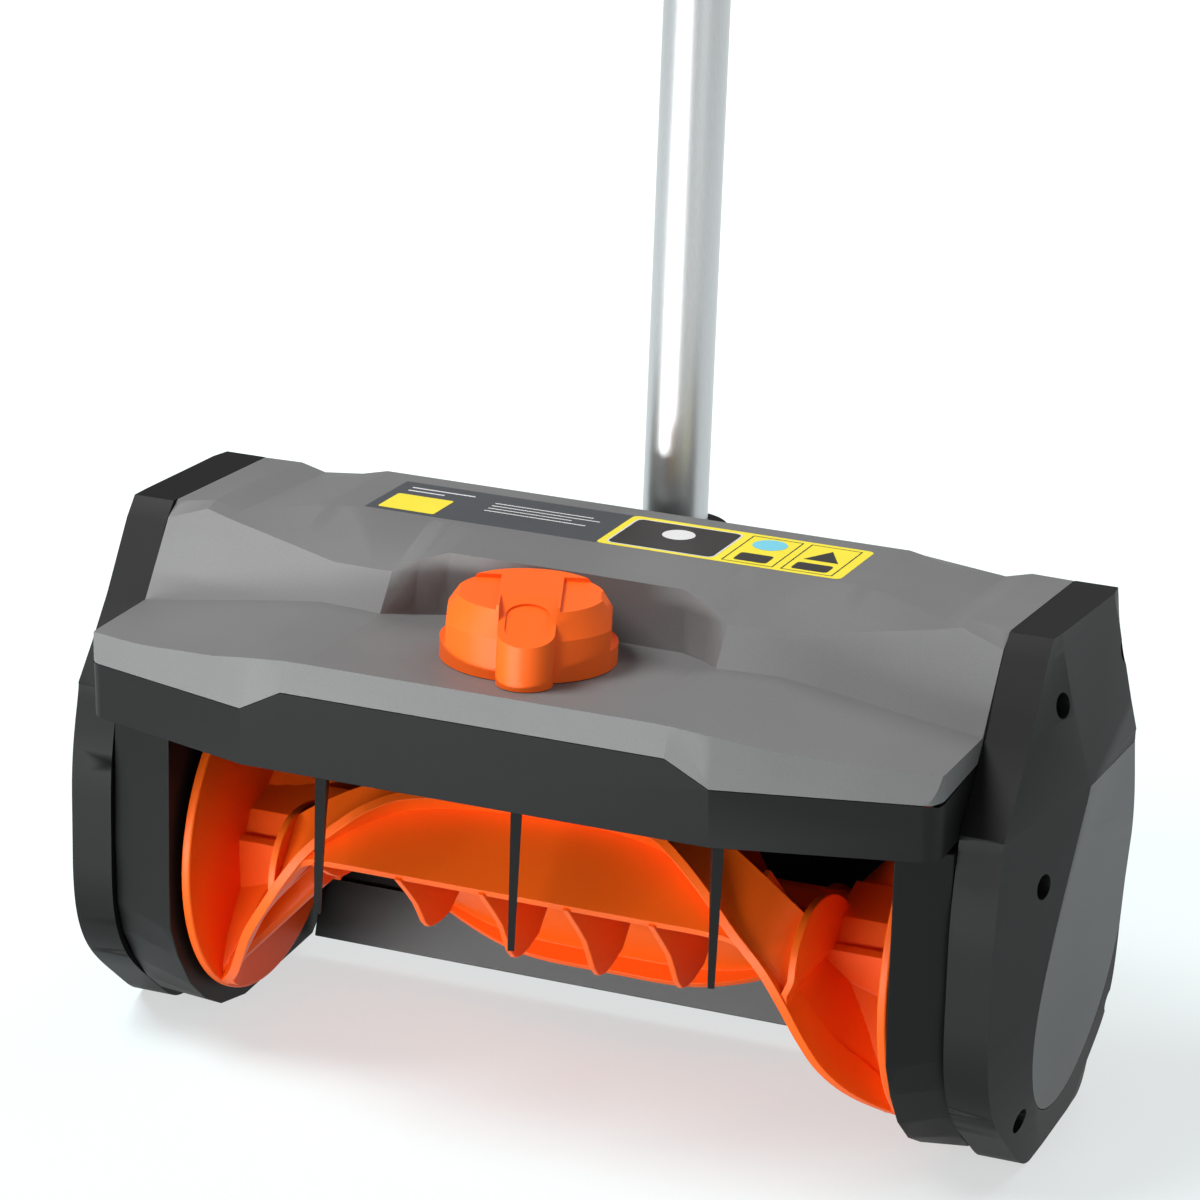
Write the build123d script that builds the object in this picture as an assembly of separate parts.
from build123d import *
import os
from math import acos, atan2, ceil, cos, degrees, hypot, radians, sin, sqrt, tan

# Single stage electric snowblower head with its lower tube.  Millimetres, +Z up, -Y is the front.
# Everything is laid out from one datum: mid-width, on the rear edge of the deck.  At the end the
# whole head is moved so that z = 0 is the ground and x = y = 0 is the middle of its outline.

# ---- driving dimensions -------------------------------------------------------------------------
DECK_HEIGHT = 196.0        # rear edge of the deck above the ground
WALL = 3.0                 # moulded wall of every housing part
GAP = 0.3                  # clearance between pieces that don't touch

SEAM_X = 165.0             # where the middle housing ends and the side covers begin
BAND = 16.5                # width of the flat band round each side cover
DOME = 14.0                # how far a side cover domes out beyond its band
DRIVE_FACE_X = -136.0      # inner face of the side plate that carries the belt drive
IDLE_FACE_X = 147.0        # inner face of the plain side plate

AUGER_Y = -75.0            # auger axis
AUGER_Z = -118.0
AUGER_R = 65.0             # radius of the end discs
FLIGHT_R = 64.6            # tip radius of the flights and paddles
AUGER_ROOM = 5.0           # running room between the tips and the housing
DISC_T = 3.6               # end disc thickness
DISC_ROOM = {-1: 3.0, 1: 1.5}         # between an end disc and its side plate
HUB_R = 13.0
SHAFT_R = 6.0
PADDLE_T = 3.6             # thickness of the flights and the middle paddles
PADDLE_HALF = 46.0         # half length of the flat middle paddle
PADDLE_LEAD = 17.0         # angle of the paddle's leading edge, up from the horizontal front
PADDLE_TRAIL = 60.0        # angle of its trailing edge
PADDLE_TRAIL_R = 50.0
RIM_STEPS = 15
RIM_DEPTH = 13.0           # how far the flights' rims stand in from the tip circle
# Rim of the flight on each side: angle about the axis, then distance from the mid-plane.
FLIGHT_RIM = {
    -1: [(-54, 130.4), (-40, 120.5), (-28, 114), (-15, 107.5), (-3, 99.5), (10, 88.5), (20, 81), (30, 69), (40, 55),
         (46, 43)],
    1: [(-54, 142.9), (-41, 128.5), (-28, 119), (-15, 112.5), (-3, 106), (8, 97.5), (19, 84), (30, 70), (40, 55),
        (46, 43)],
}
# The twisted wing between paddle and disc: share of that distance, angle of its trailing edge.
WING = [(0.0, 60.0), (0.28, 48.0), (0.45, 40.0), (0.62, 28.5), (0.7, 22.0)]
# The scoop at each disc: distance from the disc, angle of its free back edge, radii of the leading and back edges.
SCOOP = [(-1.0, 36.0, 64.2, 46.0), (8.0, 37.5, 64.2, 46.7), (17.0, 39.0, 64.2, 48.0), (26.0, 39.5, 64.2, 49.5),
         (34.0, 27.0, 64.2, 51.0), (43.5, 1.0, 54.5, 50.5)]
SCOOP_T = 3.0
WEB_T = 2.6
RIB_PITCH = 34.0           # ribs under each middle paddle
RIB_T = 2.4

HOOD_TILT = 5.7            # the hood's middle rises towards the front by this angle
KNOB_Y = -120.5            # centre of the knob where it meets the hood
KNOB_Z = -11.7
KNOB_R = 32.0
KNOB_H = 25.8
KNOB_REST = 15.0           # the knob's crank is stored turned by this angle
LUG_REST = 21.0            # and its pointer lug by this one
VANE_REST = 22.5           # and the vanes by this one
VANE_PITCH = 76.5
VANE_T = 4.4               # at the roof
VANE_TIP_T = 2.4
VANE_BLOCK = 12.0          # height of the thicker block at its top
VANE_REACH = 38.0          # from a vane's pivot to its front edge
VANE_DROP = 65.0           # how far its tip hangs under the roof of the housing
VANE_PIVOT = 4.5           # the vane pivots lie this far in front of the knob's axis
CRANK_R = 16.0             # crank radius of a vane
KNOB_CRANK_R = 24.0        # crank radius of the knob's spindle
PIN_R = 1.8
PIN_PLAY = 0.7             # play of a crank pin across its slot
PIN_ARC = 2.2              # extra slot length for the arc of the crank pins

TUBE_R = 12.5
TUBE_WALL = 1.5
TUBE_LEAN = 4.9            # the tube leans back
TUBE_Y = 19.2              # tube axis at the height of the deck's rear edge
TUBE_ABOVE = 375.0         # top end of the tube above the deck's rear edge
SOCKET_R = 20.2
SOCKET_TOP = -9.0
SOCKET_DEPTH = 92.0

MOTOR_Y = -28.0
MOTOR_Z = -30.0
MOTOR_R = 20.0
MOTOR_LEN = 78.0
MOTOR_SHAFT_R = 2.5
DRIVE_PULLEY_R = 6.0
DRIVEN_PULLEY_R = 24.0
BELT_W = 9.0
BELT_T = 2.4
BELT_X = -173.0            # middle of the belt
BEARING_R = 13.0
BEARING_W = 8.0
RUN_FIT = 0.05             # radial clearance of a shaft in its bearing

SCREW_HOLE_R = 4.7
SCREW_SEAT_X = 169.0       # depth of the cover screws' seats, from the mid-plane
BOSS_R = 7.2

HOOD_BACK_Y = -98.0        # the shell's ends are open behind this, where the side plates stand
BUMPER_LOW = -48.8         # lower edge of the front band, middle and ends
BUMPER_LOW_END = -52.0
PARTING_LIP = 1.4          # the band's upper edge slopes inwards by this
RETURN_BACK_Y = -106.0
KNOB_BUSH_R = 8.0
SPINDLE_R = 5.0
VANE_BOSS_R = 8.0
VANE_BOSS_H = 3.0
VANE_SHAFT_R = 4.0
VANE_TAIL = 26.0           # from a vane's pivot to its rear end
SCRAPER_T = 2.6
SCRAPER_SHOWS = 12.0       # how far the scraper reaches below the wall's foot
SCRAPER_LAP = 12.0
SCREW_R = 1.7
SCREW_DEPTH = 14.0
PILLAR_R = 4.8
LUG_SCREW_R = 4.4          # lug on the shell for each cover's rear screw
MOTOR_BOSS_R = 8.0
BOLT_R = 2.5
SCOOP_W = 16.0
SCOOP_IN_R = 46.0
PULLEY_RIM = 1.2
BELT_GAP = 0.4
FAN_R = 17.0
LINK_W = 14.0
KNOB_SHOULDER = 15.5       # height at which the crown begins
KNOB_CHAMFER = 6.5
KNOB_LEDGE = 7.5           # height of the ledge below the finger flats
KNOB_FLAT = 29.3           # the finger flats, from the middle
KNOB_BAR = 11.3            # half width of the raised bar across the crown
LUG_R = 10.2
LUG_Y = 32.7
LUG_SLOPE = radians(15.5)
LUG_START = 9.0            # its sloping top leaves the crown here
CORNER_R = 9.0             # rounding of the hood's and the band's front outer corners
TUBE_SWAGE = 0.25          # the tube's lower end is drawn in by this, inside its socket


# ---- small helpers ------------------------------------------------------------------------------
def side_face(points, x):
    """A face parallel to the mid-plane, from (y, z) points, standing at x."""
    return Face(Wire.make_polygon([Vector(x, y, z) for y, z in points], close=True))


def side_prism(points, xa, xb):
    """A side outline run out from xa to xb."""
    x0, x1 = min(xa, xb), max(xa, xb)
    return extrude(side_face(points, x0), amount=x1 - x0, dir=(1, 0, 0))


def rod(xa, xb, y, z, r):
    """A round bar along X."""
    x0, x1 = min(xa, xb), max(xa, xb)
    plane = Plane(origin=(x0, y, z), x_dir=(0, 1, 0), z_dir=(1, 0, 0))
    return extrude(plane * Circle(r), amount=x1 - x0)


def ring(x0, x1, y, z, r_out, r_in):
    """A bush or washer along X."""
    return rod(x0, x1, y, z, r_out) - rod(min(x0, x1) - 1, max(x0, x1) + 1, y, z, r_in)


def inset(points, d):
    """Moves every edge of a closed outline inwards by d."""
    n = len(points)
    area = sum(points[i][0] * points[(i + 1) % n][1] - points[(i + 1) % n][0] * points[i][1] for i in range(n))
    turn = 1 if area > 0 else -1
    moved = []
    for i in range(n):
        (ay, az), (by, bz), (cy, cz) = points[i - 1], points[i], points[(i + 1) % n]
        l1, l2 = hypot(by - ay, bz - az), hypot(cy - by, cz - bz)
        n1 = (-(bz - az) / l1 * turn, (by - ay) / l1 * turn)
        n2 = (-(cz - bz) / l2 * turn, (cy - by) / l2 * turn)
        k = d / (1 + n1[0] * n2[0] + n1[1] * n2[1])
        moved.append((by + k * (n1[0] + n2[0]), bz + k * (n1[1] + n2[1])))
    return moved


def ruled(sections):
    """A faceted solid through (x, outline) sections, all with the same number of points."""
    return loft([side_face(points, x) for x, points in sections], ruled=True)


def both_sides(half):
    return half + mirror(half, about=Plane.YZ)


def auger_point(angle, r):
    """(y, z) at an angle about the auger axis: 0 is the front, positive is up."""
    a = radians(angle)
    return (AUGER_Y - r * cos(a), AUGER_Z + r * sin(a))


# ---- the hood's own frame: on the hood at the knob, leaning back with it ---------------------------
TILT = radians(HOOD_TILT)
HOOD = Plane(origin=(0, KNOB_Y, KNOB_Z), x_dir=(1, 0, 0), z_dir=(0, sin(TILT), cos(TILT)))
ROOF_R = AUGER_R + AUGER_ROOM
ROOF_TOUCH = (AUGER_Y + ROOF_R * sin(TILT), AUGER_Z + ROOF_R * cos(TILT))
ROOF_UNDER = -((KNOB_Z - ROOF_TOUCH[1]) * cos(TILT) + (KNOB_Y - ROOF_TOUCH[0]) * sin(TILT))
ROOF_TOP = ROOF_UNDER + WALL
FRONT_Y = -172.2
BUMPER_BACK = FRONT_Y + WALL

# ---- outlines ------------------------------------------------------------------------------------
# Cross-sections of the grey top shell from the mid-plane outwards: rear foot, rear edge, deck back,
# deck front, ridge, where the front face meets the hood, hood's front crease, lower front edge.
REAR_FOOT = (-4.0, -72.0)
PARTING_Z = -17.7
SHELL_SECTIONS = [
    (0.0, [REAR_FOOT, (-2, 2), (-13, 7.4), (-62, 11), (-86.2, 9.3), (-86.5, -15.1), (-168.5, -6.9),
           (FRONT_Y, PARTING_Z)]),
    (46.0, [REAR_FOOT, (-2, 2), (-13, 7.4), (-62, 11), (-86.6, 9.3), (-87.4, -15), (-168.5, -6.9),
            (FRONT_Y, PARTING_Z)]),
    (57.0, [REAR_FOOT, (-2, 2), (-13, 7.4), (-61.5, 11), (-90.2, 6.2), (-93.6, -14.2), (-168.5, -6.9),
            (FRONT_Y, PARTING_Z)]),
    (66.0, [REAR_FOOT, (-2, 2), (-13, 7.4), (-61, 11), (-94.2, 1.6), (-105, -11.2), (-168.5, -6.9),
            (FRONT_Y, PARTING_Z)]),
    (73.5, [REAR_FOOT, (-2, 2), (-13, 7.4), (-60.5, 11), (-94, 1.4), (-104.8, -10.8), (-168.5, -7),
            (FRONT_Y, PARTING_Z)]),
    (90.0, [REAR_FOOT, (-2, 2), (-13, 7.4), (-60, 11), (-93.6, 1.4), (-104.2, -10.6), (-167.4, -8.8),
            (-171.8, -26.7)]),
    (106.0, [REAR_FOOT, (-2, 2), (-13, 7.4), (-59, 11), (-89.8, 3.3), (-103.7, -12.8), (-162.6, -12.4),
             (-166.3, -27.5)]),
    (139.0, [REAR_FOOT, (0, -2.3), (-14, -0.6), (-71, 6.4), (-81.9, 7.0), (-102.5, -18.2), (-151.4, -18),
             (-154.9, -29.2)]),
    (149.0, [REAR_FOOT, (0, 0.3), (-14, 2.1), (-72.5, 9.7), (-79.5, 8.5), (-102, -19.9), (-147.8, -19),
             (-151.5, -29.7)]),
    (SEAM_X, [REAR_FOOT, (0, 0), (-14, 1.5), (-73, 7.8), (-81, 3.2), (-101.2, -22.6), (-142, -20.4),
              (-146, -30.5)]),
]
SHELL_OPEN = -60.0         # how far the cavity runs out below the shell

# The side cover in level sections: height, then how far forward, and how far out beyond the band, its
# front edge, front crease, rear crease and rear edge stand. The first five are flat sided.
DOME_SECTIONS = [
    (9.0, -75.0, (-66, 0.2), (-10, 0.2), -1.0),
    (1.5, -82.5, (-68, 1.2), (-9, 1.2), 0.0),
    (-23.0, -100.0, (-68.5, 6.5), (-9, 6.5), 6.0),
    (-38.0, -113.0, (-66, 9.8), (-10, 9.8), 8.4),
    (-50.0, -124.5, (-65, 12.4), (-10, 12.4), 9.2),
    (-72.0, -130.0, (-74, 11.4), (-12, 13.4), 10.0),
    (-107.0, -133.5, (-93, 8.4), (-12, 11.6), 9.8),
    (-142.0, -132.5, (-100, 6.2), (-12, 9.2), 7.8),
    (-160.0, -124.0, (-95, 5.0), (-14, 7.4), 4.5),
    (-172.0, -113.0, (-87, 3.8), (-18, 5.2), -2.0),
    (-185.0, -99.0, (-76, 2.0), (-27, 2.6), -11.0),
    (-DECK_HEIGHT, -80.0, (-66, 0.3), (-38, 0.3), -25.0),
]
FLAT_SECTIONS = 5
COVER_TOP = [(60, -4), (0, 0), (-75, 8), (-200, 20)]
# The grey inlay, from the rear end of its straight top edge forwards: corners, then a smooth border.
INLAY_TOP = [(-3, -55.0), (-65, -50.3)]
INLAY_BORDER = [(-78, -75), (-95, -111), (-101, -140), (-94, -162), (-72, -178), (-46, -178), (-26, -158),
                (-8, -118)]
INLAY_T = 2.2
COVER_SCREWS = [(-75.0, -17.0), (-98.0, -77.0), (-101.5, -169.0), (-7.5, -21.0), (-12.0, -160.0)]

# The side plates are wider in front at their inner face than at the seam.
PLATE_BACK = [(-84, -189), (-25, -189), (-3, -172), (3, -140), (2, -76), (-13.5, -74), (-13, -10), (-70, -1.5),
              (-76, -4), (-96, -29), (-104, -53)]
PLATE_INNER = [(-140, -53), (-143.5, -118), (-143.5, -135), (-138, -149), (-129, -164), (-117, -176),
               (-104, -184)] + PLATE_BACK
PLATE_SEAM = [(-128, -56), (-131.5, -110), (-131.5, -134), (-128, -148), (-120, -162), (-110, -175),
              (-100, -184)] + PLATE_BACK
# The hood seen from above, along the inside of the bumper: what the roof plate is trimmed to.
HOOD_BEND_X = 90.0
HOOD_CORNER = (-146, -30.5)
SCRAPER_FOOT = (-21.0, -190.0)


# ---- housing ---------------------------------------------------------------------------------------
def rounded_plan():
    """A tall prism that rounds the front outer corner of whatever it is crossed with."""
    corner_y = HOOD_CORNER[0]
    plan = Face(Wire.make_polygon([Vector(-10, FRONT_Y - 5, -DECK_HEIGHT), Vector(HOOD_BEND_X, FRONT_Y - 5, -DECK_HEIGHT),
                                   Vector(HOOD_BEND_X, SHELL_SECTIONS[5][1][-1][0], -DECK_HEIGHT),
                                   Vector(SEAM_X, corner_y, -DECK_HEIGHT), Vector(SEAM_X, 80, -DECK_HEIGHT),
                                   Vector(-10, 80, -DECK_HEIGHT)], close=True))
    corner = plan.vertices().sort_by_distance(Vector(SEAM_X, corner_y, -DECK_HEIGHT))[0]
    return extrude(plan.fillet_2d(CORNER_R, [corner]), amount=2 * DECK_HEIGHT, dir=(0, 0, 1))


def top_shell():
    """The grey deck and hood in one moulding: open underneath, and at the ends behind the hood."""
    outer = ruled(SHELL_SECTIONS)
    end_x = SEAM_X - WALL
    cores = []
    for x, points in SHELL_SECTIONS:
        inner = inset(points, WALL)
        inner[-1] = (inner[-1][0], inner[-1][1] + SHELL_OPEN)
        inner[0] = (inner[0][0], inner[0][1] + SHELL_OPEN)
        cores.append((min(x, end_x), inner))
    shell = outer - ruled(cores)
    open_end = side_prism(cores[-1][1], end_x - 1, SEAM_X + 1)
    shell -= open_end & Pos(SEAM_X, HOOD_BACK_Y + 200, 0) * Box(20, 400, 400)
    corner_y, corner_z = HOOD_CORNER
    shell -= Pos(SEAM_X, corner_y + 50, corner_z - 50) * Box(2 * WALL + 2, 100, 100)
    lug_y, lug_z = COVER_SCREWS[3]
    shell += rod(SEAM_X - SCREW_DEPTH, SEAM_X, lug_y, lug_z, LUG_SCREW_R)
    shell -= rod(SEAM_X - SCREW_DEPTH + 0.5, SEAM_X + 1, lug_y, lug_z, SCREW_R + 0.1)
    return both_sides(shell & rounded_plan()) - HOOD * Cylinder(KNOB_BUSH_R + GAP, 4 * WALL)


def bumper_sections():
    """(x, upper front edge, lower front edge) of the black band, from the mid-plane out."""
    low = (FRONT_Y + 1.0, BUMPER_LOW)
    corner_y, corner_z = HOOD_CORNER
    return [(0.0, (FRONT_Y, PARTING_Z), low),
            (SHELL_SECTIONS[4][0], (FRONT_Y, PARTING_Z), low),
            (HOOD_BEND_X, SHELL_SECTIONS[5][1][-1], low),
            (SEAM_X, (corner_y, corner_z), (corner_y, BUMPER_LOW_END))]


def front_bumper():
    """The black band under the hood's front edge, with a return along each end."""
    sections = []
    for x, (top_y, top_z), low in bumper_sections():
        sections.append((x, [(top_y, top_z - GAP), low, (low[0] + WALL, low[1]),
                             (top_y + WALL, top_z - GAP - PARTING_LIP)]))
    corner_y, corner_z = HOOD_CORNER
    end = side_prism([(corner_y + WALL / 2, corner_z - PARTING_LIP), (corner_y + WALL / 2, BUMPER_LOW_END),
                      (RETURN_BACK_Y, BUMPER_LOW_END), (RETURN_BACK_Y, corner_z - GAP)],
                     SEAM_X - WALL, SEAM_X)
    return both_sides((ruled(sections) + end) & rounded_plan())


def wall_path(r):
    """Key points (y, z) of the housing wall at distance r from the auger axis, front to foot."""
    touch = (AUGER_Y + r * sin(TILT), AUGER_Z + r * cos(TILT))
    front_y = FRONT_Y + WALL + GAP
    front = (front_y, touch[1] + (touch[0] - front_y) * tan(TILT))
    foot = (SCRAPER_FOOT[0] + r - ROOF_R, SCRAPER_FOOT[1] + SCRAPER_SHOWS)
    reach = hypot(foot[0] - AUGER_Y, foot[1] - AUGER_Z)
    leave = atan2(foot[1] - AUGER_Z, foot[0] - AUGER_Y) + acos(r / reach)
    middle = (radians(90) - TILT + leave) / 2
    arc = [(AUGER_Y + r * cos(a), AUGER_Z + r * sin(a)) for a in (middle, leave)]
    return front, touch, arc[0], arc[1], foot


def vane_places():
    return (-VANE_PITCH, 0.0, VANE_PITCH)


def auger_housing():
    """Roof over the auger, rear wall round it and the flat that runs down to the scraper."""
    x0, x1 = DRIVE_FACE_X + GAP, IDLE_FACE_X - GAP
    edges = []
    ends = []
    for r in (ROOF_R, ROOF_R + WALL):
        front, touch, middle, leave, foot = [Vector(x0, y, z) for y, z in wall_path(r)]
        edges += [Edge.make_line(front, touch), Edge.make_three_point_arc(touch, middle, leave),
                  Edge.make_line(leave, foot)]
        ends.append((front, foot))
    edges += [Edge.make_line(ends[0][i], ends[1][i]) for i in (0, 1)]
    shell = extrude(Face(Wire(edges)), amount=x1 - x0, dir=(1, 0, 0))
    back = FRONT_Y + 1.0 + WALL + 2 * GAP
    corner_y = HOOD_CORNER[0] + WALL + 2 * GAP
    plan = [(-SEAM_X, corner_y), (-HOOD_BEND_X, back), (HOOD_BEND_X, back), (SEAM_X, corner_y),
            (SEAM_X, 50), (-SEAM_X, 50)]
    plan_face = Face(Wire.make_polygon([Vector(x, y, -DECK_HEIGHT) for x, y in plan], close=True))
    shell &= extrude(plan_face, amount=2 * DECK_HEIGHT, dir=(0, 0, 1))
    for x in vane_places():
        shell += HOOD * Pos(x, -VANE_PIVOT, ROOF_TOP + VANE_BOSS_H / 2) * Cylinder(VANE_BOSS_R, VANE_BOSS_H)
    for x in vane_places():
        shell -= HOOD * Pos(x, -VANE_PIVOT, ROOF_TOP) * Cylinder(VANE_SHAFT_R + RUN_FIT, 8 * WALL)
    return shell


def scraper_bar():
    """Flat strip along the front of the rear wall's foot, reaching below it."""
    leave, foot = wall_path(ROOF_R)[3:]
    run = hypot(foot[0] - leave[0], foot[1] - leave[1])
    down = ((foot[0] - leave[0]) / run, (foot[1] - leave[1]) / run)
    ahead = (down[1], -down[0])

    def corner(along, off):
        return (foot[0] + down[0] * along + ahead[0] * off, foot[1] + down[1] * along + ahead[1] * off)

    outline = [corner(-SCRAPER_LAP, GAP), corner(SCRAPER_SHOWS, GAP),
               corner(SCRAPER_SHOWS, GAP + SCRAPER_T), corner(-SCRAPER_LAP, GAP + SCRAPER_T)]
    return side_prism(outline, DRIVE_FACE_X + 2, IDLE_FACE_X - 2)


def side_plate(inner_x, side):
    """One side plate: hollow towards the cover, with a boss for the auger's bearing."""
    seam = side * SEAM_X
    body = ruled([(inner_x, PLATE_INNER), (seam, PLATE_SEAM)])
    body -= ruled([(inner_x + side * WALL, inset(PLATE_SEAM, WALL)), (seam + side, inset(PLATE_SEAM, WALL))])
    boss_end = inner_x + side * (BEARING_W + WALL)
    body += rod(inner_x + side * WALL, boss_end, AUGER_Y, AUGER_Z, BEARING_R + WALL)
    body -= rod(inner_x + side * WALL, boss_end + side, AUGER_Y, AUGER_Z, BEARING_R)
    body -= rod(inner_x - side, inner_x + side * 2 * WALL, AUGER_Y, AUGER_Z, SHAFT_R + 2.0)
    outline = ruled([(inner_x, PLATE_INNER), (seam, PLATE_SEAM)])
    held = COVER_SCREWS[:3] + COVER_SCREWS[4:]
    for y, z in held:
        body += rod(inner_x + side * WALL, seam, y, z, PILLAR_R) & outline
    for y, z in held:
        body -= rod(seam - side * SCREW_DEPTH, seam + side, y, z, SCREW_R + 0.1)
    if side < 0:
        body -= rod(inner_x - side, inner_x + side * 2 * WALL, MOTOR_Y, MOTOR_Z, MOTOR_BOSS_R + GAP)
    return body


def dome_solid(shift, grow):
    """The right cover's band and dome: moved out by shift, and every wall moved in by -grow."""
    x0 = SEAM_X + GAP
    sections = []
    for z, front, crease_front, crease_rear, rear in DOME_SECTIONS:
        points = [(x0, front), (x0 + BAND, front), (x0 + BAND + crease_front[1], crease_front[0]),
                  (x0 + BAND + crease_rear[1], crease_rear[0]), (x0 + BAND, rear), (x0, rear)]
        if grow < 0:
            points = inset(points, -grow)
            points[0] = (x0 - 1, points[0][1])
            points[-1] = (x0 - 1, points[-1][1])
        level = max(z, -DECK_HEIGHT - grow)
        sections.append(Face(Wire.make_polygon([Vector(x + shift, y, level) for x, y in points], close=True)))
    top = loft(sections[:FLAT_SECTIONS], ruled=True)
    return top + loft(sections[FLAT_SECTIONS - 1:])


def side_cover():
    """The right side's black cover without its inlay: the left one is its mirror image."""
    x0 = SEAM_X + GAP
    roof = side_prism([(y, z) for y, z in COVER_TOP] + [(-200, -250), (60, -250)], x0 - 5, x0 + 80)
    outer = dome_solid(0.0, 0.0) & roof
    cover = outer - (dome_solid(0.0, -WALL) & roof.moved(Location((0, 0, -WALL))))
    mouth = x0 + BAND + DOME + 1
    for y, z in COVER_SCREWS:
        cover += rod(x0, mouth, y, z, BOSS_R) & outer
    for y, z in COVER_SCREWS:
        cover -= rod(SCREW_SEAT_X, mouth, y, z, SCREW_HOLE_R)
        cover -= rod(x0 - 1, SCREW_SEAT_X, y, z, SCREW_R + 0.2)
    return cover - inlay_skin(0.0, INLAY_T)


def inlay_face(gap):
    """The inlay's outline in side view, drawn in by a gap all round."""
    points = [Vector(SEAM_X, y, z) for y, z in inset(INLAY_TOP + INLAY_BORDER, gap)]
    return Face(Wire([Edge.make_line(points[0], points[1]), Edge.make_spline(points[1:] + points[:1])]))


def inlay_skin(gap, depth):
    """The skin of the dome inside the inlay's outline."""
    plug = extrude(inlay_face(gap), amount=BAND + DOME + 5, dir=(1, 0, 0))
    return (dome_solid(0.0, 0.0) & plug) - dome_solid(-depth, 0.0)


def cover_inlay():
    """The right side's grey inlay."""
    piece = inlay_skin(GAP, INLAY_T - 0.1)
    for y, z in COVER_SCREWS:
        piece -= rod(SEAM_X, SEAM_X + BAND + DOME + 5, y, z, SCREW_HOLE_R)
    return piece


def cover_screws(side):
    """Five pan head screws at the bottom of their wells."""
    seat = side * (SCREW_SEAT_X + 0.1)
    head = side * (SCREW_SEAT_X + 2.4)
    tip = side * (SEAM_X - SCREW_DEPTH + 1)
    screws = [rod(seat, head, y, z, SCREW_HOLE_R - 0.4) + rod(tip, seat, y, z, SCREW_R)
              for y, z in COVER_SCREWS]
    return Compound(children=screws)


# ---- tube ------------------------------------------------------------------------------------------
LEAN = radians(TUBE_LEAN)
TUBE_AXIS = Plane(origin=(0, TUBE_Y, 0), x_dir=(1, 0, 0), z_dir=(0, sin(LEAN), cos(LEAN)))
SOCKET_FOOT = SOCKET_TOP - SOCKET_DEPTH
TUBE_FOOT = SOCKET_FOOT + WALL + GAP
TUBE_TOP = TUBE_ABOVE / cos(LEAN)
SOCKET_BOLT_H = SOCKET_TOP - 0.37 * SOCKET_DEPTH
SWAGE_TOP = SOCKET_TOP + 1.0


def tube_socket():
    """Socket behind the deck, seated on the rear wall of the shell and of the auger housing."""
    body = TUBE_AXIS * Pos(0, 0, SOCKET_TOP - SOCKET_DEPTH / 2) * Cylinder(SOCKET_R, SOCKET_DEPTH)
    pad = Pos(0, SOCKET_R / 2, (SOCKET_TOP + SOCKET_FOOT) / 2 - 4) * Box(2 * SOCKET_R + 22, SOCKET_R, SOCKET_DEPTH - 22)
    body += pad & side_prism([(-40, -10), (5.5, -14), (1.5, -95), (-40, -95)], -60, 60)
    body -= TUBE_AXIS * Pos(0, 0, SOCKET_TOP - SOCKET_DEPTH / 2 + WALL) * Cylinder(TUBE_R + 0.1, SOCKET_DEPTH)
    body -= TUBE_AXIS * Pos(0, 0, SOCKET_BOLT_H) * Rot(0, 90, 0) * Cylinder(BOLT_R + 0.1, 4 * SOCKET_R)
    rear = SHELL_SECTIONS[0][1]
    shell_back = [(rear[0][0] + GAP, rear[0][1]), (rear[1][0] + GAP, rear[1][1]), (-60, rear[1][1]), (-60, rear[0][1])]
    body -= side_prism(shell_back, -60, 60)
    return body - rod(-60, 60, AUGER_Y, AUGER_Z, ROOF_R + WALL + GAP)


def shaft_tube():
    """The round tube: its lower end, inside the socket, is drawn in a little."""
    wide, narrow = TUBE_TOP - SWAGE_TOP, SWAGE_TOP - TUBE_FOOT
    tube = Pos(0, 0, SWAGE_TOP + wide / 2) * (Cylinder(TUBE_R, wide) - Cylinder(TUBE_R - TUBE_WALL, wide + 2))
    end_r = TUBE_R - TUBE_SWAGE
    tube += Pos(0, 0, TUBE_FOOT + narrow / 2) * Cylinder(end_r, narrow)
    tube -= Pos(0, 0, TUBE_FOOT + narrow / 2) * Cylinder(end_r - TUBE_WALL, narrow + 2)
    tube -= Pos(0, 0, SOCKET_BOLT_H) * Rot(0, 90, 0) * Cylinder(BOLT_R + 0.1, 4 * TUBE_R)
    return TUBE_AXIS * tube


def socket_bolt():
    """Bolt through socket and tube, with a domed head and a nut."""
    shank = Cylinder(BOLT_R, 2 * SOCKET_R + 6)
    head = Pos(0, 0, SOCKET_R + 2) * Cylinder(5.0, 3.4)
    nut = Pos(0, 0, -SOCKET_R - GAP - 3.6) * extrude(RegularPolygon(5.0, 6), amount=3.6)
    return TUBE_AXIS * Pos(0, 0, SOCKET_BOLT_H) * Rot(0, 90, 0) * (shank + head + nut)


# ---- auger -----------------------------------------------------------------------------------------
def disc_face(side):
    """Inner face (towards the middle) and outer face of an end disc."""
    plate_x = DRIVE_FACE_X if side < 0 else IDLE_FACE_X
    outer = plate_x - side * DISC_ROOM[side]
    return outer - side * DISC_T, outer


def rim_angle(x, side):
    """Angle of the flight's rim at a distance from the mid-plane."""
    rim = FLIGHT_RIM[side]
    for (a1, x1), (a0, x0) in zip(rim, rim[1:]):
        if x >= x0:
            break
    return a0 + (a1 - a0) * (x - x0) / (x1 - x0)


def radial_section(angle, x, r_in, r_out, width):
    """A rectangle in the half-plane at this angle, width along X."""
    corners = [(x - width / 2, r_in), (x + width / 2, r_in), (x + width / 2, r_out), (x - width / 2, r_out)]
    return Face(Wire.make_polygon([Vector(px, *auger_point(angle, r)) for px, r in corners], close=True))


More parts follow.
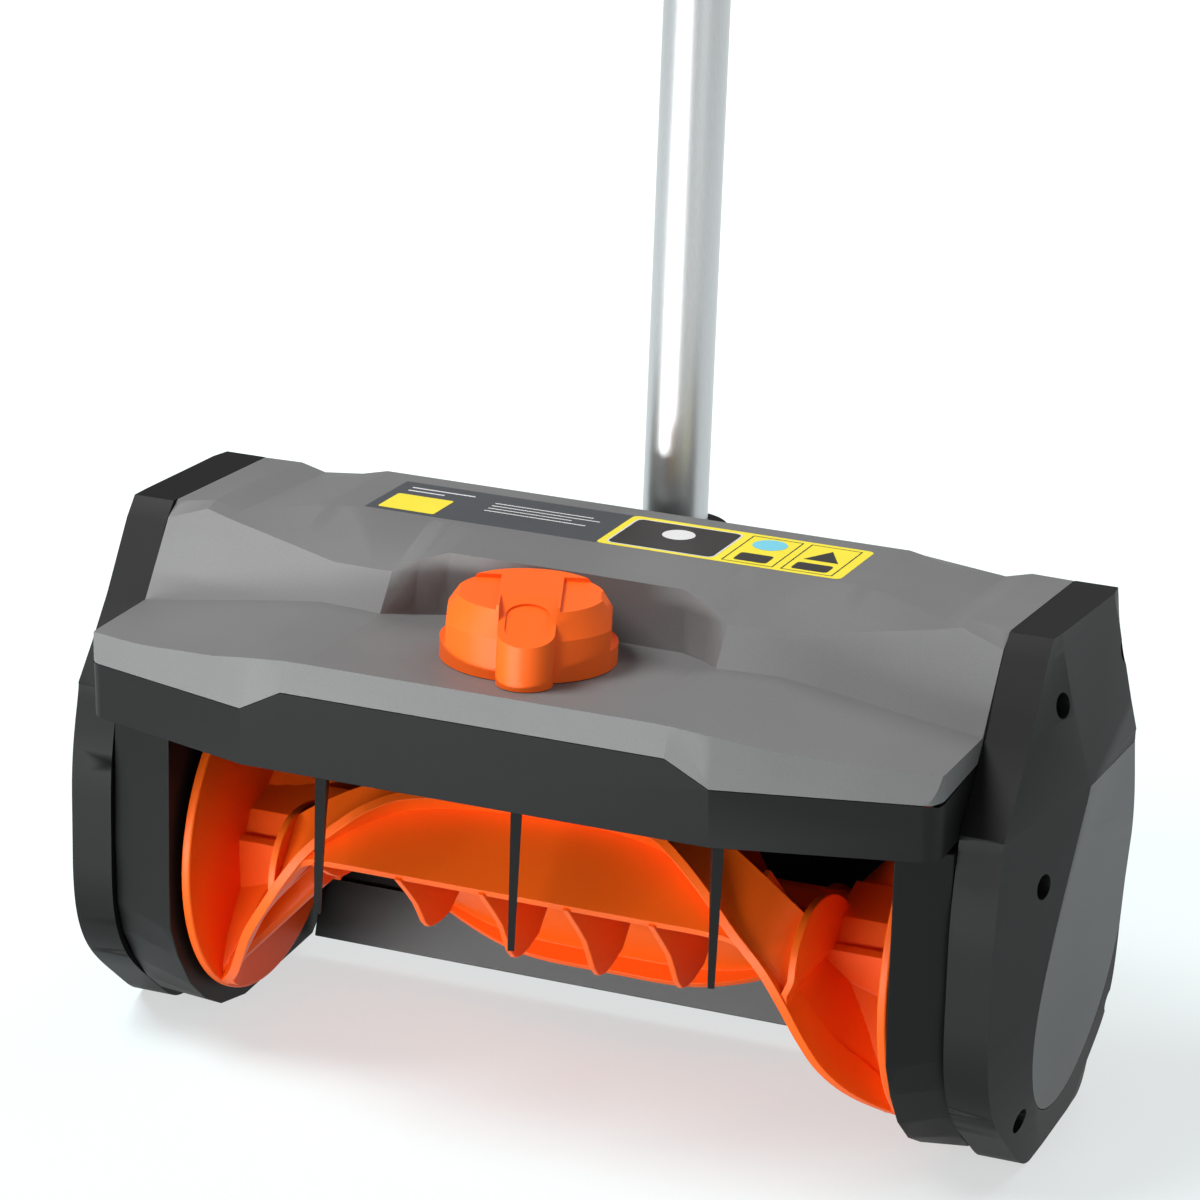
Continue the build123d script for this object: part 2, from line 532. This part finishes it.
def rim_reach(angle, side):
    """Distance of the flight's rim from the mid-plane at an angle about the axis."""
    rim = FLIGHT_RIM[side]
    for (a0, x0), (a1, x1) in zip(rim, rim[1:]):
        if angle <= a1:
            break
    return x0 + (x1 - x0) * (angle - a0) / (a1 - a0)


def flight_rim(side):
    """The curved ribbon that stands proud along a flight, from its end disc in over the paddle."""
    first, last = FLIGHT_RIM[side][0][0], FLIGHT_RIM[side][-1][0]
    angles = [first + (last - first) * i / RIM_STEPS for i in range(RIM_STEPS + 1)]
    return loft([radial_section(angle, side * rim_reach(angle, side), FLIGHT_R - RIM_DEPTH, FLIGHT_R, PADDLE_T)
                 for angle in angles], ruled=True)


def plate_section(lead, trail, tip):
    """Outline across the paddle or a wing: the plate from rim to trailing edge and its web back to the hub."""
    rim = Vector(*auger_point(lead, tip), 0)
    edge = Vector(*auger_point(trail, PADDLE_TRAIL_R), 0)
    along = (edge - rim).normalized()
    inward = Vector(0, 0, 1).cross(along)
    if inward.dot(Vector(AUGER_Y, AUGER_Z, 0) - rim) < 0:
        inward = -inward
    under = edge - along * WEB_T + inward * PADDLE_T
    back = rim + inward * PADDLE_T
    hub = [auger_point(trail + 8, HUB_R - 2), auger_point(trail - 5, HUB_R - 2)]
    return [(rim.X, rim.Y), (edge.X, edge.Y)] + hub + [(under.X, under.Y), (back.X, back.Y)]


def middle_paddle():
    """The flat plate between the two flights, with its web back to the hub and the ribs below it."""
    solid = side_prism(plate_section(PADDLE_LEAD, PADDLE_TRAIL, FLIGHT_R), -PADDLE_HALF, PADDLE_HALF)
    rib = [auger_point(PADDLE_LEAD, AUGER_R - 1), auger_point(2, 54), auger_point(-16, 46), auger_point(-28, 43),
           auger_point(-38, 38), auger_point(-50, 26), auger_point(-60, HUB_R - 1),
           auger_point(PADDLE_TRAIL, HUB_R - 1), auger_point(PADDLE_TRAIL - 2, PADDLE_TRAIL_R - 1)]
    for i in range(4):
        x = (i - 1.5) * RIB_PITCH
        solid += side_prism(rib, x - RIB_T / 2, x + RIB_T / 2)
    return solid


def wing(side):
    """The plate twists on from the paddle towards the end disc, behind the flight's rim."""
    reach = abs(disc_face(side)[0]) - PADDLE_HALF
    sections = []
    for share, trail in WING:
        x = PADDLE_HALF + reach * share - (1.0 if share == 0 else 0.0)
        lead = min(PADDLE_LEAD, rim_angle(x, side) + 0.4)
        sections.append(side_face(plate_section(lead, trail, FLIGHT_R - 0.6), side * x))
    return loft(sections, ruled=True)


def scoop(side):
    """Curved floor from the flight's rim to the end disc, with its free edge rising like a fin."""
    base = abs(disc_face(side)[0])
    sections = []
    for gap, back, lead_r, back_r in SCOOP:
        lead = rim_angle(max(base - gap, base - 36.0), side) - (5.0 if gap > 36 else 0.6)
        middle = (lead + back) / 2
        middle_r = (lead_r + back_r) / 2 * cos(radians((back - lead) / 2)) + 1.5
        outline = [auger_point(lead, lead_r), auger_point(middle, middle_r), auger_point(back, back_r),
                   auger_point(back, back_r - SCOOP_T), auger_point(middle, middle_r - SCOOP_T),
                   auger_point(lead, lead_r - SCOOP_T)]
        sections.append(side_face(outline, side * (base - gap)))
    return loft(sections, ruled=True)


def scoop_wall(side):
    """Closes the pocket between a flight's start and its end disc."""
    inner = disc_face(side)[0] + side
    wide = inner - side * SCOOP_W
    start = FLIGHT_RIM[side][0][0]
    sections = [radial_section(a, (inner + wide) / 2, SCOOP_IN_R, FLIGHT_R - 0.7, SCOOP_W)
                for a in (start + 1, start + 5)]
    return loft(sections, ruled=True)


def scoop_block(side):
    """The stepped block that carries a scoop on the hub, beside its end disc."""
    inner = disc_face(side)[0]
    block = [auger_point(-30, HUB_R - 2), auger_point(-8, 33), auger_point(8, 36), auger_point(42, 37),
             auger_point(52, HUB_R - 2)]
    return side_prism(block, inner + side, inner - side * 21.0)


def auger():
    """The one-piece orange rotor: two end discs, hub, and two opposite sets of flights."""
    left, right = disc_face(-1)[1], disc_face(1)[1]
    body = rod(left, right, AUGER_Y, AUGER_Z, HUB_R)
    for side in (-1, 1):
        inner, outer = disc_face(side)
        body += rod(inner, outer, AUGER_Y, AUGER_Z, AUGER_R)
    half = middle_paddle()
    for side in (-1, 1):
        half += flight_rim(side)
        half += wing(side)
        half += scoop(side)
        half += scoop_wall(side)
        half += scoop_block(side)
    axis = Axis((0, AUGER_Y, AUGER_Z), (1, 0, 0))
    body += half
    body += half.rotate(axis, 180)
    return body - rod(left - 1, right + 1, AUGER_Y, AUGER_Z, SHAFT_R + 0.02)


def auger_shaft():
    left = BELT_X - BELT_W / 2 - 5
    right = IDLE_FACE_X + WALL + BEARING_W + 4
    return rod(left, right, AUGER_Y, AUGER_Z, SHAFT_R)


def bearing(inner_x, side):
    """Sealed ball bearing in a side plate's boss: outer ring, seal and inner ring in one."""
    x0 = inner_x + side * (WALL + 0.1)
    x1 = x0 + side * (BEARING_W - 0.2)
    body = ring(x0, x1, AUGER_Y, AUGER_Z, BEARING_R - 0.02, SHAFT_R + RUN_FIT)
    for x in (x0, x1):
        body -= ring(x - 0.5, x + 0.5, AUGER_Y, AUGER_Z, BEARING_R - 2.5, SHAFT_R + 2.0)
    return body


def grooved_pulley(x, y, z, r, bore, flange, side=1):
    """Belt pulley with a flange at each edge."""
    half = BELT_W / 2
    body = rod(x - half - GAP, x + half + GAP, y, z, r)
    for edge in (-1, 1):
        body += rod(x + edge * (half + GAP), x + edge * (half + GAP + PULLEY_RIM), y, z, r + flange)
    return body - rod(x - 40, x + 40, y, z, bore)


def driven_pulley():
    body = grooved_pulley(BELT_X, AUGER_Y, AUGER_Z, DRIVEN_PULLEY_R, SHAFT_R + 0.02, 3.4)
    for i in range(6):
        a = radians(60 * i)
        body -= rod(BELT_X - 40, BELT_X + 40, AUGER_Y + 15 * cos(a), AUGER_Z + 15 * sin(a), 4.6)
    return body


def drive_belt():
    """Flat ribbed belt round both pulleys."""
    def loop(grow):
        circles = []
        for y, z, r in ((MOTOR_Y, MOTOR_Z, DRIVE_PULLEY_R), (AUGER_Y, AUGER_Z, DRIVEN_PULLEY_R)):
            circles.append(Edge.make_circle(r + grow, Plane.XY.offset(0)).moved(Location((y, z, 0))))
        return make_hull(circles)
    band = loop(BELT_GAP + BELT_T) - loop(BELT_GAP)
    plane = Plane(origin=(BELT_X - BELT_W / 2, 0, 0), x_dir=(0, 1, 0), z_dir=(1, 0, 0))
    return extrude(plane * band, amount=BELT_W)


# ---- motor -----------------------------------------------------------------------------------------
CAN_X0 = DRIVE_FACE_X + GAP
CAN_X1 = CAN_X0 + MOTOR_LEN


def motor_can():
    body = rod(CAN_X0, CAN_X1, MOTOR_Y, MOTOR_Z, MOTOR_R)
    body -= rod(CAN_X0 + 4, CAN_X1 - 4, MOTOR_Y, MOTOR_Z, MOTOR_R - 2)
    body += rod(CAN_X0 - WALL, CAN_X0, MOTOR_Y, MOTOR_Z, MOTOR_BOSS_R)
    body += rod(CAN_X1, CAN_X1 + 4, MOTOR_Y, MOTOR_Z, MOTOR_BOSS_R)
    return body - rod(CAN_X0 - 9, CAN_X1 + 9, MOTOR_Y, MOTOR_Z, MOTOR_SHAFT_R + RUN_FIT)


def motor_magnets():
    """Two curved magnets against the can's wall."""
    span = ring(CAN_X0 + 16, CAN_X1 - 16, MOTOR_Y, MOTOR_Z, MOTOR_R - 2.05, MOTOR_R - 6)
    cut = Pos((CAN_X0 + CAN_X1) / 2, MOTOR_Y, MOTOR_Z) * Box(MOTOR_LEN, 14, 60)
    return span - cut


def armature():
    """Laminated core with slots, and the commutator."""
    core = rod(CAN_X0 + 18, CAN_X1 - 18, MOTOR_Y, MOTOR_Z, MOTOR_R - 6.8)
    for i in range(6):
        a = radians(60 * i)
        core -= rod(CAN_X0 + 17, CAN_X1 - 17, MOTOR_Y + 11.5 * cos(a), MOTOR_Z + 11.5 * sin(a), 2.4)
    core += rod(CAN_X1 - 18, CAN_X1 - 8, MOTOR_Y, MOTOR_Z, 6.0)
    return core - rod(CAN_X0, CAN_X1, MOTOR_Y, MOTOR_Z, MOTOR_SHAFT_R + 0.02)


def motor_shaft():
    return rod(BELT_X - BELT_W / 2 - 4, CAN_X1 + 20, MOTOR_Y, MOTOR_Z, MOTOR_SHAFT_R)


def drive_pulley():
    return grooved_pulley(BELT_X, MOTOR_Y, MOTOR_Z, DRIVE_PULLEY_R, MOTOR_SHAFT_R + 0.02, 3.4)


def cooling_fan():
    """Radial fan on the motor's free shaft end."""
    x = CAN_X1 + 8
    fan = rod(x, x + 2, MOTOR_Y, MOTOR_Z, FAN_R) + rod(x, x + 9, MOTOR_Y, MOTOR_Z, 6)
    for i in range(8):
        blade = Pos(x + 5.4, MOTOR_Y, MOTOR_Z + FAN_R / 2 + 2) * Box(7.2, 1.6, FAN_R - 5)
        fan += blade.rotate(Axis((0, MOTOR_Y, MOTOR_Z), (1, 0, 0)), 45 * i)
    return fan - rod(x - 5, x + 20, MOTOR_Y, MOTOR_Z, MOTOR_SHAFT_R + 0.02)


# ---- knob and vanes --------------------------------------------------------------------------------
CRANK_T = 3.0
LAYER_GAP = 0.4
VANE_ARM_Z = ROOF_TOP + VANE_BOSS_H + LAYER_GAP        # underside of the vane cranks, in the hood's frame
LINK_Z = VANE_ARM_Z + CRANK_T + LAYER_GAP
KNOB_ARM_Z = LINK_Z + CRANK_T + LAYER_GAP


def knob():
    """Round body with a chamfered crown, a raised bar, finger flats and a long half-round pointer lug."""
    base = GAP
    body = Pos(0, 0, (base + KNOB_SHOULDER) / 2) * Cylinder(KNOB_R, KNOB_SHOULDER - base)
    body += Pos(0, 0, (KNOB_SHOULDER + KNOB_H) / 2) * Cone(KNOB_R, KNOB_R - KNOB_CHAMFER, KNOB_H - KNOB_SHOULDER)
    for side in (-1, 1):
        body -= Pos(side * (KNOB_FLAT + 20), 0, KNOB_LEDGE + 20) * Box(40, 27, 40)
        body -= Pos(side * (KNOB_R - 1.5), 0, KNOB_H) * Rot(0, side * 38, 0) * Box(12, 11, 9)
        body -= Pos(side * (KNOB_BAR + 20), -10, KNOB_H) * Box(40, 52, 3.0)
    slope = Plane(origin=(0, -LUG_START, KNOB_H), x_dir=(1, 0, 0), z_dir=(0, -sin(LUG_SLOPE), cos(LUG_SLOPE)))
    column = Pos(0, -LUG_Y, (base + KNOB_H) / 2) * Cylinder(LUG_R, KNOB_H - base)
    column += Pos(0, -LUG_Y / 2, (base + KNOB_H) / 2) * Box(2 * LUG_R, LUG_Y, KNOB_H - base)
    body += column
    body -= slope * Pos(0, -30, 30) * Box(2 * LUG_R + 0.02, 60, 60)
    recess = slope * Pos(0, -18, 0) * Rot(0, 0, 90)
    body -= recess * extrude(SlotOverall(24.5, 15.5), amount=0.8, both=True)
    socket = Pos(0, 0, base + 7) * Rot(0, 0, KNOB_REST - LUG_REST) * Box(7.2, 7.2, 14.2)
    return HOOD * Rot(0, 0, LUG_REST) * (body - socket)


def knob_spindle():
    """Square-ended spindle with its crank and crank pin under the hood."""
    top = GAP + 13
    shank = Pos(0, 0, (top + GAP) / 2) * Box(7, 7, top - GAP)
    shaft = Pos(0, 0, (KNOB_ARM_Z + GAP) / 2) * Cylinder(SPINDLE_R, GAP - KNOB_ARM_Z)
    arm = Pos(0, KNOB_CRANK_R / 2, KNOB_ARM_Z + CRANK_T / 2) * Box(9, KNOB_CRANK_R, CRANK_T)
    arm += Pos(0, KNOB_CRANK_R, KNOB_ARM_Z + CRANK_T / 2) * Cylinder(4.5, CRANK_T)
    arm += Pos(0, 0, KNOB_ARM_Z + CRANK_T / 2) * Cylinder(8.0, CRANK_T)
    pin = Pos(0, KNOB_CRANK_R, (KNOB_ARM_Z + LINK_Z) / 2) * Cylinder(PIN_R, KNOB_ARM_Z - LINK_Z + 0.2)
    return HOOD * Rot(0, 0, KNOB_REST) * (shank + shaft + arm + pin)


def knob_bush():
    """Bush that carries the spindle in the hood."""
    sleeve = Pos(0, 0, -WALL) * Cylinder(KNOB_BUSH_R, 2 * WALL - 0.2)
    flange = Pos(0, 0, -WALL - GAP - 1.2) * Cylinder(KNOB_BUSH_R + 4, 2.0)
    return HOOD * (sleeve + flange - Cylinder(SPINDLE_R + RUN_FIT, 40))


def crank_shift(arm, angle):
    """Where a crank pin stands, from its pivot, once turned: positive turns the front to +X."""
    a = radians(angle)
    return (-arm * sin(a), arm * cos(a))


def link_bar():
    """Bar that joins the four crank pins: round-ended slots let each pin follow its arc."""
    dx, dy = crank_shift(CRANK_R, VANE_REST)
    kx, ky = crank_shift(KNOB_CRANK_R, KNOB_REST)
    row_y = -VANE_PIVOT + dy
    bar = Pos(dx, row_y, 0) * Box(2 * VANE_PITCH + 12, LINK_W, CRANK_T)
    tongue_len = ky - row_y + 8
    bar += Pos(kx, row_y + tongue_len / 2, 0) * Box(12, tongue_len + 1, CRANK_T)
    slot_w = PIN_R + PIN_PLAY
    for x in vane_places():
        bar -= Pos(x + dx, row_y, 0) * extrude(Rot(0, 0, 90) * SlotCenterToCenter(2 * PIN_ARC, 2 * slot_w),
                                               amount=20, both=True)
    bar -= Pos(kx, ky, 0) * extrude(Rot(0, 0, 90) * SlotCenterToCenter(2 * PIN_ARC, 2 * slot_w), amount=20, both=True)
    return HOOD * Pos(0, 0, LINK_Z + CRANK_T / 2) * bar


def vane(x):
    """Snow vane: a fin that follows the auger's tip circle, on a pivot through the roof."""
    top = ROOF_UNDER - LAYER_GAP
    rear = VANE_TAIL
    points = [(-VANE_REACH, top), (-VANE_REACH + 1.0, top - VANE_DROP), (-VANE_REACH + 5.5, top - VANE_DROP),
              (-27, top - 46), (-19, top - 31), (-8, top - 19), (6, top - 10), (rear, top - 3.0), (rear, top)]
    outline = Face(Wire.make_polygon([Vector(y, z, 0) for y, z in points], close=True))
    blade = extrude(Plane.YZ * outline, amount=VANE_T, both=True)
    taper = [(-VANE_T / 2, top), (VANE_T / 2, top), (VANE_TIP_T / 2, top - VANE_DROP),
             (-VANE_TIP_T / 2, top - VANE_DROP)]
    front = Plane(origin=(0, -VANE_REACH - 5, 0), x_dir=(1, 0, 0), z_dir=(0, 1, 0))
    blade &= extrude(front * Face(Wire.make_polygon([Vector(px, -pz, 0) for px, pz in taper], close=True)), amount=100)
    block = Pos(0, (rear - VANE_REACH) / 2 + 0.4, top - VANE_BLOCK / 2) * Box(VANE_T + 2.2, VANE_REACH + rear - 0.8,
                                                                          VANE_BLOCK)
    blade += block & extrude(Plane.YZ * outline, amount=VANE_T, both=True)
    blade += Pos(0, 0, top - 9) * Cylinder(VANE_SHAFT_R + 0.5, 18)
    shaft_top = VANE_ARM_Z
    blade += Pos(0, 0, (top + shaft_top) / 2 - 1) * Cylinder(VANE_SHAFT_R, shaft_top - top + 2)
    blade += Pos(0, 0, VANE_ARM_Z + CRANK_T / 2 - 0.5) * Box(5, 5, CRANK_T + 0.9)
    return HOOD * Pos(x, -VANE_PIVOT, 0) * Rot(0, 0, VANE_REST) * blade


def vane_crank(x):
    """Crank arm on top of a vane's pivot, with its pin."""
    z = VANE_ARM_Z + CRANK_T / 2
    arm = Pos(0, CRANK_R / 2, z) * Box(8, CRANK_R, CRANK_T)
    arm += Pos(0, 0, z) * Cylinder(6.5, CRANK_T) + Pos(0, CRANK_R, z) * Cylinder(4.0, CRANK_T)
    arm += Pos(0, CRANK_R, (VANE_ARM_Z + LINK_Z + CRANK_T) / 2) * Cylinder(PIN_R, LINK_Z + CRANK_T - VANE_ARM_Z - 0.2)
    arm -= Pos(0, 0, z) * Box(5.04, 5.04, 10)
    return HOOD * Pos(x, -VANE_PIVOT, 0) * Rot(0, 0, VANE_REST) * arm


# ---- assembly --------------------------------------------------------------------------------------
def assembly():
    parts = {"top_shell": top_shell(), "front_bumper": front_bumper(), "auger_housing": auger_housing(),
             "scraper_bar": scraper_bar(),
             "left_side_plate": side_plate(DRIVE_FACE_X, -1), "right_side_plate": side_plate(IDLE_FACE_X, 1)}
    cover, inlay = side_cover(), cover_inlay()
    for name, side in (("left", -1), ("right", 1)):
        parts[name + "_side_cover"] = cover if side > 0 else mirror(cover, about=Plane.YZ)
        parts[name + "_cover_inlay"] = inlay if side > 0 else mirror(inlay, about=Plane.YZ)
        parts[name + "_cover_screws"] = cover_screws(side)
        parts[name + "_bearing"] = bearing(DRIVE_FACE_X if side < 0 else IDLE_FACE_X, side)
    parts.update(tube_socket=tube_socket(), shaft_tube=shaft_tube(), socket_bolt=socket_bolt(),
                 auger=auger(), auger_shaft=auger_shaft(), driven_pulley=driven_pulley(),
                 drive_belt=drive_belt(), drive_pulley=drive_pulley(), motor_shaft=motor_shaft(),
                 motor_can=motor_can(), motor_magnets=motor_magnets(), armature=armature(),
                 cooling_fan=cooling_fan(), knob=knob(), knob_spindle=knob_spindle(), knob_bush=knob_bush(),
                 link_bar=link_bar())
    for name, x in zip(("left", "centre", "right"), vane_places()):
        parts["vane_" + name] = vane(x)
        parts["vane_crank_" + name] = vane_crank(x)
    return parts


os.makedirs("parts", exist_ok=True)
rear_y = TUBE_AXIS.origin.Y + TUBE_TOP * sin(LEAN) + TUBE_R * cos(LEAN)
stand = Location((0, -(FRONT_Y + rear_y) / 2, DECK_HEIGHT))
for node, shape in assembly().items():
    export_step(stand * shape, "parts/" + node + ".step")
